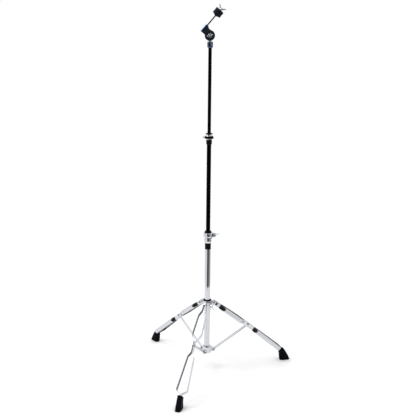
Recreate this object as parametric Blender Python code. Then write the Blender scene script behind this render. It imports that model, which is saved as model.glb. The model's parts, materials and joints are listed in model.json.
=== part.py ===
"""Straight cymbal stand, built at real size in metres with +Z up.

A folding tripod of paired pressed strips carries three telescoping tubes, and a toothed
tilter at the top holds the rod, felts and wing nut that a cymbal sits on.  Leg 1 points
along -Y.  The origin lies on the floor in the middle of the footprint's bounding box.
"""

from math import atan2, cos, hypot, pi, radians, sin

import bmesh
import bpy
from mathutils import Matrix, Vector

# ---------------------------------------------------------------- driving dimensions
GAP = 0.0003                    # clearance between pieces that touch on the real stand
FOOT_CIRCLE = 0.385             # column axis to the centre of each rubber sole
COLUMN_Y = FOOT_CIRCLE / 4 + 0.0023  # brings the footprint's box onto the origin
LEG_BEARINGS = (-90, 30, 150)   # degrees, leg 1 first
HEADING = 16.6                  # degrees that the clamps and tilter are swung from leg 1

BASE_R, BASE_WALL = 0.0127, 0.0015
MID_R, MID_WALL = 0.0095, 0.0010
TOP_R, TOP_WALL = 0.0073, 0.0012
BASE_BOTTOM, BASE_TOP = 0.0770, 0.6400
MID_BOTTOM, MID_TOP = 0.4700, 1.0800
TOP_BOTTOM, TOP_TOP = 0.8700, 1.4650

# Tripod linkage, each pivot as (distance from the column axis, height)
HUB_PIVOT = (0.0310, 0.3185)
LOW_PIVOT = (0.0310, 0.0865)
BRACE_PIVOT = (0.1974, 0.1965)
LEG_MOUTH = (0.3650, 0.0525)    # where the strips enter the rubber foot
RIVET_RISE = 0.0035             # brace rivet above the strips' centre line
HUB_PLAY = 0.0011               # running clearance of the sliding hub on the base tube
RIVET_R = 0.0030
BOLT_Z = 0.3085                 # height of the sliding hub's wing bolt

STRIP_WIDTH = 0.0200
STRIP_SHEET = 0.0015
STRIP_CROWN = 0.0040
STRIP_IN_FOOT = 0.0120
BRACE_WIDTH = 0.0120
BRACE_SHEET = 0.0030
EYE_R = 0.0072
OPEN_EYE_R = 0.0045             # the brace's outer eye, loose enough for the rivet's travel

LUG_HALF = 0.0045               # half thickness of a sliding hub lug
EAR_IN, EAR_OUT = 0.0020, 0.0055
CLAMP_BOLT_OUT = 0.0280         # column axis to a clamp's bolt
CLAMP_EAR_HALF = 0.0075
LOW_CLAMP_Z = 0.6400
MID_CLAMP_Z = 1.0725

TILT_X, TILT_Z = -0.0016, 1.4954  # ratchet axis, a little to the left of the column
ROD_LEAN = 40.7                 # degrees that the cymbal rod leans to +X
ROD_OFFSET = 0.0349             # ratchet axis to the rod's axis
DISC_R, DISC_T = 0.0215, 0.0090
ROD_R = 0.00275
FELT_R, FELT_T = 0.0190, 0.0126
FELT_START = 0.0785             # along the rod from the ratchet axis

CHROME = ((0.80, 0.80, 0.82), 0.10, 1.0)
BLACK_CHROME = ((0.03, 0.03, 0.035), 0.12, 1.0)
BLUE_CHROME = ((0.05, 0.07, 0.12), 0.15, 1.0)
NYLON = ((0.02, 0.02, 0.02), 0.45, 0.0)
RUBBER = ((0.015, 0.016, 0.022), 0.70, 0.0)
FELT = ((0.012, 0.014, 0.022), 0.95, 0.0)
STEEL = ((0.55, 0.55, 0.57), 0.25, 1.0)

Z_TO_Y = Matrix.Rotation(-pi / 2, 4, "X")
Z_TO_MINUS_Y = Matrix.Rotation(pi / 2, 4, "X")
Z_TO_X = Matrix.Rotation(pi / 2, 4, "Y")


# ---------------------------------------------------------------- shape tools
def lathe(profile, segments=24):
    """Spins (radius, height) points about Z: a closed ring, or a chain that starts and ends on the axis."""
    shape = bmesh.new()
    points = [shape.verts.new((radius, 0, height)) for radius, height in profile]
    edges = [shape.edges.new(pair) for pair in zip(points, points[1:])]
    if profile[0][0] > 0:
        edges.append(shape.edges.new((points[-1], points[0])))
    bmesh.ops.spin(shape, geom=points + edges, cent=(0, 0, 0), axis=(0, 0, 1), angle=2 * pi,
                   steps=segments)
    bmesh.ops.remove_doubles(shape, verts=shape.verts, dist=1e-6)
    return shape


def tube(outer, inner, low, high, segments=24):
    return lathe([(inner, low), (outer, low), (outer, high), (inner, high)], segments)


def rod(radius, low, high, segments=16):
    return lathe([(0, low), (radius, low), (radius, high), (0, high)], segments)


def slab(outline, low, high):
    """An (x, z) outline extruded along Y from low to high."""
    shape = bmesh.new()
    face = shape.faces.new([shape.verts.new((x, low, z)) for x, z in outline])
    grown = bmesh.ops.extrude_face_region(shape, geom=[face])
    moved = [item for item in grown["geom"] if isinstance(item, bmesh.types.BMVert)]
    bmesh.ops.translate(shape, verts=moved, vec=(0, high - low, 0))
    return shape


def box(low, high):
    return slab([(low[0], low[2]), (high[0], low[2]), (high[0], high[2]), (low[0], high[2])],
                low[1], high[1])


def arc(centre, radius, start, end, steps):
    """Points on an arc in degrees, both ends included."""
    angles = [radians(start + (end - start) * i / steps) for i in range(steps + 1)]
    return [(centre[0] + radius * cos(a), centre[1] + radius * sin(a)) for a in angles]


def moved(shape, matrix):
    bmesh.ops.transform(shape, matrix=matrix, verts=shape.verts)
    return shape


def together(shapes):
    """Several closed shapes in one, used as the second shape of a Boolean."""
    whole = bmesh.new()
    for shape in shapes:
        mesh = bpy.data.meshes.new("loose")
        shape.to_mesh(mesh)
        shape.free()
        whole.from_mesh(mesh)
        bpy.data.meshes.remove(mesh)
    return whole


def loft(rings):
    """Closed solid through rings of equal point counts, capped at both ends."""
    shape = bmesh.new()
    rows = [[shape.verts.new(point) for point in ring] for ring in rings]
    count = len(rows[0])
    for near, far in zip(rows, rows[1:]):
        for i in range(count):
            shape.faces.new((near[i - 1], near[i], far[i], far[i - 1]))
    shape.faces.new(rows[0])
    shape.faces.new(rows[-1])
    return shape


# ---------------------------------------------------------------- scene tools
def mesh_from(name, shape):
    bmesh.ops.recalc_face_normals(shape, faces=shape.faces)
    mesh = bpy.data.meshes.new(name)
    shape.to_mesh(mesh)
    shape.free()
    mesh.shade_smooth()
    mesh.set_sharp_from_angle(angle=radians(35))
    return mesh


def material(name, finish):
    colour, roughness, metallic = finish
    made = bpy.data.materials.new(name)
    made.use_nodes = True
    shader = made.node_tree.nodes["Principled BSDF"]
    shader.inputs["Base Color"].default_value = (*colour, 1)
    shader.inputs["Roughness"].default_value = roughness
    shader.inputs["Metallic"].default_value = metallic
    return made


def frame(name, location, bearing=0, parent=None, lean=0):
    """An empty whose X axis points along the bearing, then leans about its Y axis."""
    empty = bpy.data.objects.new(name, None)
    empty.location = location
    empty.rotation_euler = (0, radians(lean), radians(bearing))
    empty.empty_display_size = 0.02
    empty.parent = parent
    bpy.context.scene.collection.objects.link(empty)
    return empty


def hang(item, parent, offset):
    item.parent = parent
    item.location = offset
    bpy.context.scene.collection.objects.link(item)


def piece(name, shape, finish, parent, offset=(0, 0, 0), joins=None, cuts=None):
    """One named sub-part, with its Boolean shapes kept beside it as hidden guides."""
    item = bpy.data.objects.new(name, mesh_from(name, shape))
    item.data.materials.append(material(name, finish))
    hang(item, parent, offset)
    for kind, operand in (("UNION", joins), ("DIFFERENCE", cuts)):
        if operand is None:
            continue
        guide_name = name + "_" + kind.lower()
        guide = bpy.data.objects.new(guide_name, mesh_from(guide_name, operand))
        guide.hide_render = True
        guide.display_type = "WIRE"
        hang(guide, parent, offset)
        modifier = item.modifiers.new(kind.title(), "BOOLEAN")
        modifier.operation = kind
        modifier.solver = "EXACT"
        modifier.use_self = True
        modifier.object = guide
    return item


# ---------------------------------------------------------------- fasteners
def rivet(half_grip, head_r=0.0055, head_t=0.0022):
    """A headed pin along Z, its heads standing off the grip by the running gap."""
    seat = half_grip + GAP
    return lathe([(0, -seat - head_t), (head_r * 0.8, -seat - head_t), (head_r, -seat), (RIVET_R, -seat),
                  (RIVET_R, seat), (head_r, seat), (head_r * 0.8, seat + head_t), (0, seat + head_t)], 12)


def headed_bolt(shank_r, length, head_r, head_t):
    """A bolt along Z with its head below the origin."""
    return lathe([(0, -head_t), (head_r * 0.85, -head_t), (head_r, -head_t * 0.7), (head_r, 0),
                  (shank_r, 0), (shank_r, length), (0, length)], 16)


def wings(half_span, height, thickness=0.0024):
    """Both wings of a wing nut as one upright V in the XZ plane."""
    right = [(0.30, 0.08), (0.50, 0.36), (0.67, 0.57), (0.85, 0.71), (0.98, 0.82),
             (1.00, 0.92), (0.93, 1.00), (0.82, 0.99), (0.60, 0.84), (0.38, 0.62), (0.20, 0.50)]
    outline = [(x * half_span, z * height) for x, z in right]
    outline += [(-x * half_span, z * height) for x, z in reversed(right)]
    return slab(outline, -thickness / 2, thickness / 2)


def wing_nut(name, finish, parent, half_span, height, hub_r, bore_r, turn):
    """A wing nut standing on its seat at the parent's origin, its wings turned about the axis."""
    spin = Matrix.Rotation(radians(turn), 4, "Z")
    hub = lathe([(0, 0), (hub_r, 0), (hub_r * 0.8, height * 0.46), (0, height * 0.46)], 20)
    return piece(name, hub, finish, parent,
                 joins=moved(wings(half_span, height), spin),
                 cuts=rod(bore_r, -0.002, height))


# ---------------------------------------------------------------- tripod
def in_plane(start, end):
    length = hypot(end[0] - start[0], end[1] - start[1])
    along = Vector(((end[0] - start[0]) / length, (end[1] - start[1]) / length))
    return along, Vector((-along.y, along.x)), length


def leg_line():
    """The strips' centre line in the leg's upright plane: three points and the two directions."""
    start = Vector(HUB_PIVOT)
    rivet_at = Vector(BRACE_PIVOT)
    _, across, _ = in_plane(start, rivet_at)
    knee = rivet_at - across * RIVET_RISE
    mouth = Vector(LEG_MOUTH)
    upper, _, upper_length = in_plane(start, knee)
    lower, _, lower_length = in_plane(knee, mouth)
    return start, knee, upper, lower, upper_length, upper_length + lower_length


def strip_stations(knee_at, mouth_at):
    """(distance, half gap between the pair, crown, half width, steps to here) down one strip."""
    full = STRIP_WIDTH / 2
    inner = BRACE_SHEET / 2 + HUB_PLAY
    at_lug = LUG_HALF + 0.0004
    return [(-0.0090, at_lug, 0, full * 0.55, 1),
            (-0.0045, at_lug, 0, full * 0.92, 1),
            (0.0100, at_lug, 0, full, 1),
            (0.0170, at_lug, STRIP_CROWN, full, 1),
            (0.0270, at_lug, STRIP_CROWN, full, 1),
            (0.0320, at_lug, 0, full, 1),
            (0.0570, 0.0152, 0, full, 1),
            (0.0630, 0.0154, STRIP_CROWN, full, 1),
            (0.1500, 0.0190, STRIP_CROWN, full, 1),
            (knee_at - 0.0160, inner, 0, full, 4),
            (knee_at + 0.0345, inner, 0, full, 1),
            (knee_at + 0.0505, 0.0125, 0, full, 1),
            (knee_at + 0.0560, 0.0128, STRIP_CROWN, full, 1),
            (mouth_at - 0.0200, 0.0220, STRIP_CROWN, full, 1),
            (mouth_at + 0.0010, GAP / 2, 0, full, 4),
            (mouth_at + STRIP_IN_FOOT * 0.5, GAP / 2, 0, full * 0.92, 1),
            (mouth_at + STRIP_IN_FOOT, GAP / 2, 0, full * 0.55, 1)]


def strip(side):
    """One pressed strip of a leg, drawn in the leg's plane with X outward and Y across."""
    start, knee, upper, lower, knee_at, mouth_at = leg_line()
    keys = strip_stations(knee_at, mouth_at)
    rings = []
    for index, key in enumerate(keys):
        before = keys[max(index - 1, 0)]
        for step in range(1, key[4] + 1):
            share = step / key[4]
            eased = share * share * (3 - 2 * share) if key[4] > 2 else share
            distance = before[0] + (key[0] - before[0]) * share
            gap, crown, half = (before[i] + (key[i] - before[i]) * eased for i in (1, 2, 3))
            direction = upper if distance < knee_at else lower
            origin = start + upper * distance if distance < knee_at else knee + lower * (distance - knee_at)
            normal = Vector((-direction.y, direction.x))
            ring = []
            for offset, face in ((-1, 0), (0, crown), (1, 0), (1, STRIP_SHEET), (0, crown + STRIP_SHEET),
                                 (-1, STRIP_SHEET)):
                spot = origin + normal * half * offset
                ring.append((spot.x, side * (gap + face), spot.y))
            rings.append(ring)
    return loft(rings)


def cross_pin(spot, radius, half_length, segments=16):
    """A cutter for a hole across the leg's plane."""
    pin = moved(rod(radius, -half_length, half_length, segments), Z_TO_Y)
    return moved(pin, Matrix.Translation((spot[0], 0, spot[1])))


def brace():
    along, across, length = in_plane(LOW_PIVOT, BRACE_PIVOT)
    low, high = Vector(LOW_PIVOT), Vector(BRACE_PIVOT)
    heading = atan2(along.y, along.x) * 180 / pi
    outline = [tuple(low + along * 0.014 - across * BRACE_WIDTH / 2),
               tuple(high - along * 0.014 - across * BRACE_WIDTH / 2)]
    outline += arc(high, EYE_R, heading - 120, heading + 120, 12)
    outline += [tuple(high - along * 0.014 + across * BRACE_WIDTH / 2),
                tuple(low + along * 0.014 + across * BRACE_WIDTH / 2)]
    outline += arc(low, EYE_R, heading + 60, heading + 300, 12)
    return slab(outline, -BRACE_SHEET / 2, BRACE_SHEET / 2)


def foot():
    """The rubber boot: boxy rings that swing from square to the leg to flat on the floor."""
    rings = []
    for x, z, tilt, half_x, half_y in ((0.3665, 0.0468, 48, 0.0157, 0.0116),
                                       (0.3715, 0.0375, 37, 0.0175, 0.0121),
                                       (0.3755, 0.0284, 26, 0.0190, 0.0125),
                                       (0.3791, 0.0195, 17, 0.0208, 0.0128),
                                       (0.3823, 0.0110, 9, 0.0228, 0.0130),
                                       (0.3848, 0.0042, 1, 0.0243, 0.0132),
                                       (FOOT_CIRCLE, 0.0000, 0, 0.0245, 0.0132)):
        lean = radians(tilt)
        ring = []
        for i in range(24):
            turn = 2 * pi * i / 24
            boxy = (cos(turn) ** 4 + sin(turn) ** 4) ** -0.25
            out = half_x * cos(turn) * boxy
            ring.append((x + out * cos(lean), half_y * sin(turn) * boxy, z + out * sin(lean)))
        rings.append(ring)
    return loft(rings)


def foot_pocket():
    _, _, _, lower, _, _ = leg_line()
    half_wide = GAP / 2 + STRIP_SHEET + GAP
    pocket = box((-0.012, -half_wide, -STRIP_WIDTH / 2 - GAP), (STRIP_IN_FOOT + 0.001, half_wide,
                                                              STRIP_WIDTH / 2 + GAP))
    turn = Matrix.Rotation(-atan2(lower.y, lower.x), 4, "Y")
    return moved(pocket, Matrix.Translation((LEG_MOUTH[0], 0, LEG_MOUTH[1])) @ turn)


def make_leg(number, bearing):
    """Leg, brace and their rivets.  Leg 1 hangs on its brace, legs 2 and 3 on the sliding hub."""
    pivot = BRACE_PIVOT if number == 1 else HUB_PIVOT
    heading = radians(bearing)
    centre = Vector((0, COLUMN_Y, 0))
    outward = Vector((cos(heading), sin(heading), 0))
    label = "leg_%d" % number
    leg = frame(label + "_pivot", centre + outward * pivot[0] + Vector((0, 0, pivot[1])), bearing)
    back = (-pivot[0], 0, -pivot[1])
    for side, word in ((-1, "left"), (1, "right")):
        holes = together([cross_pin(HUB_PIVOT, RIVET_R + GAP, 0.03),
                          cross_pin(BRACE_PIVOT, RIVET_R + GAP, 0.03)])
        piece(label + "_" + word + "_strip", strip(side), CHROME, leg, back, cuts=holes)
    piece(label + "_foot", foot(), RUBBER, leg, back, cuts=foot_pocket())
    hub_grip = LUG_HALF + 0.0004 + STRIP_SHEET
    knee_grip = BRACE_SHEET / 2 + HUB_PLAY + STRIP_SHEET
    for word, spot, grip in (("hub_rivet", HUB_PIVOT, hub_grip), ("brace_rivet", BRACE_PIVOT, knee_grip)):
        shape = moved(rivet(grip), Matrix.Translation((spot[0], 0, spot[1])) @ Z_TO_Y)
        piece(label + "_" + word, shape, STEEL, leg, back)

    label = "brace_%d" % number
    root = frame(label + "_pivot", centre + outward * LOW_PIVOT[0] + Vector((0, 0, LOW_PIVOT[1])), bearing)
    back = (-LOW_PIVOT[0], 0, -LOW_PIVOT[1])
    eyes = together([cross_pin(LOW_PIVOT, RIVET_R + GAP, 0.03), cross_pin(BRACE_PIVOT, OPEN_EYE_R, 0.03)])
    piece(label, brace(), CHROME, root, back, cuts=eyes)
    shape = moved(rivet(EAR_OUT), Matrix.Translation((LOW_PIVOT[0], 0, LOW_PIVOT[1])) @ Z_TO_Y)
    piece(label + "_rivet", shape, STEEL, root, back)


def around(make):
    """The same shape at each leg's bearing, as one Boolean guide."""
    shapes = []
    for bearing in LEG_BEARINGS:
        shapes += [moved(shape, Matrix.Rotation(radians(bearing), 4, "Z")) for shape in make()]
    return together(shapes)


def make_lower_hub(column):
    x, z = LOW_PIVOT
    body = lathe([(BASE_R + GAP, z - 0.0090), (0.0195, z - 0.0090), (0.0210, z - 0.0075),
                  (0.0210, z + 0.0175), (0.0195, z + 0.0190), (BASE_R + GAP, z + 0.0190)])
    ear = [(0.0150, z - 0.0080)] + arc((x, z), 0.0080, -90, 80, 8) + [(0.0150, z + 0.0170)]
    ears = around(lambda: [slab(ear, -EAR_OUT, EAR_OUT)])
    screw_hole = moved(rod(0.0028, 0.010, 0.030), Matrix.Translation((0, 0, z + 0.0065)) @ Z_TO_Y)
    slots = around(lambda: [box((0.0222, -EAR_IN, z - 0.0300), (0.0450, EAR_IN, z + 0.0300)),
                            cross_pin((x, z), RIVET_R + GAP, 0.02)])
    piece("lower_hub", body, CHROME, column, joins=ears, cuts=together([slots, screw_hole]))
    screw = moved(headed_bolt(0.0025, 0.0080, 0.0046, 0.0030),
                  Matrix.Translation((0, 0.0213, z + 0.0065)) @ Z_TO_MINUS_Y)
    piece("lower_hub_screw", screw, STEEL, column)


def make_sliding_hub():
    x, z = HUB_PIVOT
    bore = BASE_R + HUB_PLAY
    bearing = LEG_BEARINGS[0]
    hub = frame("sliding_hub_pivot", (0, COLUMN_Y - x, z), 0)
    back = (0, x, -z)
    body = lathe([(bore, 0.2840), (0.0160, 0.2840), (0.0168, 0.2955), (0.0200, 0.2990),
                  (0.0200, 0.3300), (0.0190, 0.3310), (bore, 0.3310)])
    lug = [(0.0145, 0.3075)] + arc((x, z), 0.0090, -80, 80, 8) + [(0.0145, 0.3295)]
    boss_turn = Matrix.Rotation(radians(bearing + 60), 4, "Z")
    boss_at = Matrix.Translation((0, 0, BOLT_Z))
    boss = moved(rod(0.0075, 0.0145, 0.0255), boss_turn @ boss_at @ Z_TO_X)
    joins = together([around(lambda: [slab(lug, -LUG_HALF, LUG_HALF)]), boss])
    cuts = together([around(lambda: [cross_pin((x, z), RIVET_R + GAP, 0.02)]),
                     moved(rod(0.0033, 0.0120, 0.0300), boss_turn @ boss_at @ Z_TO_X)])
    piece("sliding_hub", body, CHROME, hub, back, joins=joins, cuts=cuts)
    piece("sliding_hub_bush", lathe([(bore, 0.3313), (0.0185, 0.3313), (0.0185, 0.3345), (0.0172, 0.3363),
                                     (bore, 0.3363)]), NYLON, hub, back)

    turn = radians(bearing + 60)
    spot = Vector((cos(turn) * 0.0258, sin(turn) * 0.0258 + COLUMN_Y, BOLT_Z))
    axis = frame("hub_wing_bolt_axis", spot, bearing + 60)
    shank = lathe([(0, -0.0119), (0.0030, -0.0119), (0.0030, 0), (0.0062, 0), (0.0050, 0.0075), (0, 0.0075)], 20)
    upright = Matrix.Rotation(pi / 2, 4, "X")
    piece("hub_wing_bolt", moved(shank, Z_TO_X), CHROME, axis,
          joins=moved(wings(0.0135, 0.0170), upright @ Z_TO_X))


# ---------------------------------------------------------------- column
def split_clamp(label, column, outline, bolt_z, ear_bearing, nut_side, wing_turn):
    """A split clamp casting with its ear bolt and wing nut."""
    swing = Matrix.Rotation(radians(ear_bearing), 4, "Z")
    ear = [(0.0140, bolt_z - 0.0080)] + arc((CLAMP_BOLT_OUT, bolt_z), 0.0080, -90, 90, 8)
    ear += [(0.0140, bolt_z + 0.0080)]
    ears = moved(slab(ear, -CLAMP_EAR_HALF, CLAMP_EAR_HALF), swing)
    slit = box((0.004, -0.0012, bolt_z - 0.060), (0.045, 0.0012, bolt_z + 0.030))
    hole = cross_pin((CLAMP_BOLT_OUT, bolt_z), 0.0033, 0.02)
    piece(label, lathe(outline), CHROME, column, joins=ears, cuts=moved(together([slit, hole]), swing))
    facing = Z_TO_Y if nut_side > 0 else Z_TO_MINUS_Y
    seat = CLAMP_EAR_HALF + GAP
    head_at = Matrix.Translation((CLAMP_BOLT_OUT, -nut_side * seat, bolt_z))
    bolt = moved(headed_bolt(0.0030, 0.0265, 0.0055, 0.0036), swing @ head_at @ facing)
    piece(label + "_bolt", bolt, STEEL, column)
    nut_spot = swing @ Vector((CLAMP_BOLT_OUT, nut_side * seat, bolt_z))
    axis = frame(label + "_nut_axis", nut_spot, 0, column)
    axis.rotation_euler = (swing @ facing).to_euler()
    wing_nut(label + "_wing_nut", CHROME, axis, 0.0240, 0.0200, 0.0065, 0.0033, wing_turn)


def top_bush(name, column, tube_top, flange_low, flange_high, flange_r, outer, outer_wall, inner):
    """A nylon bush: a flange on the clamp, a neck above the tube and a sleeve inside it."""
    bore = inner + GAP
    sleeve = outer - outer_wall - GAP
    shape = lathe([(bore, tube_top - 0.0350), (sleeve, tube_top - 0.0350), (sleeve, tube_top + GAP),
                   (outer, tube_top + GAP), (outer, flange_low), (flange_r, flange_low),
                   (flange_r, flange_high - 0.0010), (flange_r - 0.0010, flange_high), (bore, flange_high)])
    piece(name, shape, NYLON, column)


def tube_guide(name, column, tube_bottom, collar_r, spigot_r):
    """A nylon foot at a tube's lower end that slides in the tube outside it."""
    shape = lathe([(0, tube_bottom - 0.0120), (collar_r, tube_bottom - 0.0120), (collar_r, tube_bottom - GAP),
                   (spigot_r, tube_bottom - GAP), (spigot_r, tube_bottom + 0.0150), (0, tube_bottom + 0.0150)])
    piece(name, shape, NYLON, column)


def make_base(column):
    piece("base_tube", tube(BASE_R, BASE_R - BASE_WALL, BASE_BOTTOM, BASE_TOP), CHROME, column)
    spigot = BASE_R - BASE_WALL - GAP
    low = BASE_BOTTOM - 0.0035
    plug = lathe([(0, low), (BASE_R - 0.0015, low), (BASE_R, low + 0.0015), (BASE_R, BASE_BOTTOM - GAP),
                  (spigot, BASE_BOTTOM - GAP), (spigot, BASE_BOTTOM + 0.0150), (0, BASE_BOTTOM + 0.0150)])
    piece("base_plug", plug, NYLON, column)
    piece("base_collar", tube(BASE_R + 0.0008, BASE_R + GAP, 0.5750, 0.6033), NYLON, column)
    bore = BASE_R + GAP
    outline = [(bore, 0.6037), (0.0138, 0.6037), (0.0158, 0.6120), (0.0162, 0.6300), (0.0190, 0.6320),
               (0.0198, 0.6340), (0.0198, 0.6480), (0.0190, 0.6500), (bore, 0.6500)]
    split_clamp("lower_clamp", column, outline, LOW_CLAMP_Z, 0, -1, 36)
    top_bush("lower_clamp_bush", column, BASE_TOP, 0.6503, 0.6580, 0.0154, BASE_R, BASE_WALL, MID_R)


def make_mid(column):
    tube_guide("mid_tube_guide", column, MID_BOTTOM, BASE_R - BASE_WALL - GAP, MID_R - MID_WALL - GAP)
    piece("mid_tube", tube(MID_R, MID_R - MID_WALL, MID_BOTTOM, MID_TOP), BLACK_CHROME, column)
    bore = MID_R + GAP
    piece("mid_clamp_sleeve", lathe([(bore, 1.0424), (0.0104, 1.0424), (0.0124, 1.0460), (0.0126, 1.0660),
                                     (bore, 1.0660)]), NYLON, column)
    outline = [(bore, 1.0664), (0.0130, 1.0664), (0.0134, 1.0700), (0.0186, 1.0706), (0.0193, 1.0718),
               (0.0193, 1.0778), (0.0186, 1.0792), (0.0150, 1.0840), (0.0145, 1.0882), (bore, 1.0882)]
    split_clamp("mid_clamp", column, outline, MID_CLAMP_Z, 90, 1, 0)
    top_bush("mid_clamp_bush", column, MID_TOP, 1.0885, 1.0925, 0.0150, MID_R, MID_WALL, TOP_R)


def make_top(column):
    tube_guide("top_tube_guide", column, TOP_BOTTOM, MID_R - MID_WALL - GAP, TOP_R - TOP_WALL - GAP)
    piece("top_tube", tube(TOP_R, TOP_R - TOP_WALL, TOP_BOTTOM, TOP_TOP), BLACK_CHROME, column)
    bore = TOP_R + GAP
    neck_top = TILT_Z - DISC_R - GAP
    ratchet = Matrix.Translation((TILT_X, 0, TILT_Z))
    socket = lathe([(bore, 1.4460), (0.0095, 1.4460), (0.0120, 1.4490), (0.0122, 1.4685), (0.0115, 1.4697),
                    (0.0075, 1.4697), (0.0075, neck_top), (0, neck_top), (0, TOP_TOP + 0.0004),
                    (bore, TOP_TOP + 0.0004)][::-1])
    stem = box((-0.0050, GAP, TOP_TOP + 0.0010), (0.0050, 0.0055, TILT_Z - 0.0100))
    plate = moved(rod(DISC_R - 0.0005, GAP, GAP + DISC_T, 32), ratchet @ Z_TO_Y)
    recess = rod(0.0070, -0.0010, 0.0045, 20)
    through = rod(0.0033, -0.0100, 0.0200)
    bores = moved(together([recess, through]), ratchet @ Z_TO_Y)
    piece("tilter_base", socket, BLUE_CHROME, column, joins=together([stem, plate]), cuts=bores)
    piece("neck_ring", tube(0.0105, 0.0078, 1.4700, neck_top), CHROME, column)
    bolt = moved(headed_bolt(0.0030, 0.0360, 0.0060, 0.0040),
                 ratchet @ Matrix.Translation((0, DISC_T + 2 * GAP, 0)) @ Z_TO_MINUS_Y)
    piece("tilter_bolt", bolt, STEEL, column)
    axis = frame("tilter_nut_axis", (TILT_X, -DISC_T - 0.0026, TILT_Z), 0, column)
    axis.rotation_euler = Z_TO_MINUS_Y.to_euler()
    wing_nut("tilter_wing_nut", CHROME, axis, 0.0135, 0.0150, 0.0065, 0.0033, 15)


def spring(turns=3, coil_r=0.0052, wire_r=0.0006, length=0.0066, per_turn=10, sides=5):
    """A coil spring along Z, centred on the origin."""
    rings = []
    for i in range(turns * per_turn + 1):
        turn = 2 * pi * i / per_turn
        height = length * (i / (turns * per_turn) - 0.5)
        ring = []
        for j in range(sides):
            around_wire = 2 * pi * j / sides
            out = coil_r + wire_r * cos(around_wire)
            ring.append((out * cos(turn), out * sin(turn), height + wire_r * sin(around_wire)))
        rings.append(ring)
    return loft(rings)


def make_tilter_head(column):
    """The toothed head that swings on the ratchet bolt; its own Z axis is the cymbal rod's."""
    head = frame("tilter_head_axis", (TILT_X, 0, TILT_Z), 0, column, ROD_LEAN)
    front, back_face = -DISC_T - GAP, -GAP
    arm_low, arm_high = -0.0115, 0.0235
    outline = arc((0, 0), DISC_R, -148, 110, 26)
    outline += [(-0.0135, 0.0185), (-0.0195, 0.0188), (-0.0250, 0.0203), (-0.0295, arm_high),
                (-0.0395, arm_high), (-0.0395, arm_low)]
    section = [(-0.0260, front), (-0.0400, front), (-0.0458, -0.0040), (-0.0458, 0.0050), (-0.0430, 0.0080),
               (-0.0260, 0.0080)]
    block = loft([[(x, y, z) for x, y in section] for z in (arm_low, arm_high)])
    recess = moved(rod(0.0070, -0.0045, 0.0010, 20), Z_TO_Y)
    through = moved(rod(0.0033, -0.0200, 0.0100), Z_TO_Y)
    rod_hole = moved(rod(ROD_R + GAP, 0.0030, 0.0400), Matrix.Translation((-ROD_OFFSET, 0, 0)))
    piece("tilter_head", slab(outline, front, back_face), BLUE_CHROME, head, joins=block,
          cuts=together([recess, through, rod_hole]))
    piece("tilter_spring", moved(spring(), Z_TO_Y), STEEL, head)
    washer = moved(tube(0.0090, 0.0033, DISC_T + 2 * GAP, DISC_T + 0.0023), Z_TO_MINUS_Y)
    piece("tilter_washer", washer, CHROME, head)

    seat = (-ROD_OFFSET, 0, 0)
    top_of_felts = FELT_START + 2 * FELT_T + GAP
    piece("cymbal_rod", rod(ROD_R, 0.0035, 0.1140), BLACK_CHROME, head, seat)
    cup = lathe([(0.0032, FELT_START - 0.0040), (0.0065, FELT_START - 0.0040), (0.0110, FELT_START - 0.0012),
                 (0.0110, FELT_START - GAP), (0.0032, FELT_START - GAP)], 20)
    piece("cup_washer", cup, BLACK_CHROME, head, seat)
    piece("cymbal_sleeve", tube(0.0046, ROD_R + GAP, FELT_START, top_of_felts + 0.0005, 20), NYLON, head, seat)
    for index, word in enumerate(("lower", "upper")):
        low = FELT_START + index * (FELT_T + GAP)
        high = low + FELT_T
        profile = [(0.0049, low), (FELT_R - 0.0012, low), (FELT_R, low + 0.0012), (FELT_R, high - 0.0012),
                   (FELT_R - 0.0012, high), (0.0049, high)]
        piece(word + "_felt", lathe(profile, 28), FELT, head, seat)
    axis = frame("cymbal_nut_axis", (-ROD_OFFSET, 0, top_of_felts + 0.0008), 0, head)
    wing_nut("cymbal_wing_nut", CHROME, axis, 0.0180, 0.0175, 0.0065, 0.0031, 0)


def clear_scene():
    for item in list(bpy.data.objects):
        bpy.data.objects.remove(item, do_unlink=True)


clear_scene()
column_axis = frame("column_axis", (0, COLUMN_Y, 0))
swung_axis = frame("swung_axis", (0, 0, 0), HEADING, column_axis)
for leg_number, leg_bearing in enumerate(LEG_BEARINGS, 1):
    make_leg(leg_number, leg_bearing)
make_lower_hub(column_axis)
make_sliding_hub()
make_base(swung_axis)
make_mid(swung_axis)
make_top(swung_axis)
make_tilter_head(swung_axis)
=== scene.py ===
import json
from math import atan2, ceil, cos, hypot, pi, radians, sin, sqrt

import bmesh
import bpy
from mathutils import Matrix, Vector, noise


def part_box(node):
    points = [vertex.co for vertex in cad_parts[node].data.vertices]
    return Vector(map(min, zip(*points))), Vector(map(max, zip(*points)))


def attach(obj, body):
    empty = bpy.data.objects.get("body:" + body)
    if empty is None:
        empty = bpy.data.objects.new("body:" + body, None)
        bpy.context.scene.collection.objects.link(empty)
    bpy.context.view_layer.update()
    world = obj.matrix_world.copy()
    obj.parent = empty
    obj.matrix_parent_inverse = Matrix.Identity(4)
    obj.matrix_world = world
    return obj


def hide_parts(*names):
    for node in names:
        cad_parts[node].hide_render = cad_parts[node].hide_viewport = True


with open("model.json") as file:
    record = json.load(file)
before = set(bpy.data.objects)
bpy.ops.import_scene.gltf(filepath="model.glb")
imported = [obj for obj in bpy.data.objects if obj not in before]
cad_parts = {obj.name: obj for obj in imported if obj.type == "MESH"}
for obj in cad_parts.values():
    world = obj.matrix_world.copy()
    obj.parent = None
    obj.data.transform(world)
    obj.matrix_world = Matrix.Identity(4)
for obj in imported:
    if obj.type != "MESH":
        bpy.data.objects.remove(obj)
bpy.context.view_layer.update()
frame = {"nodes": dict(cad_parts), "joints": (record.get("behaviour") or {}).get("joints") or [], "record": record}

# ------------------------------ base tube
# The widest of the three telescoping tubes: welded steel, polished and chrome plated.
# Both ends are broken with a small radius so the nylon parts slide in without a burr.

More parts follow.
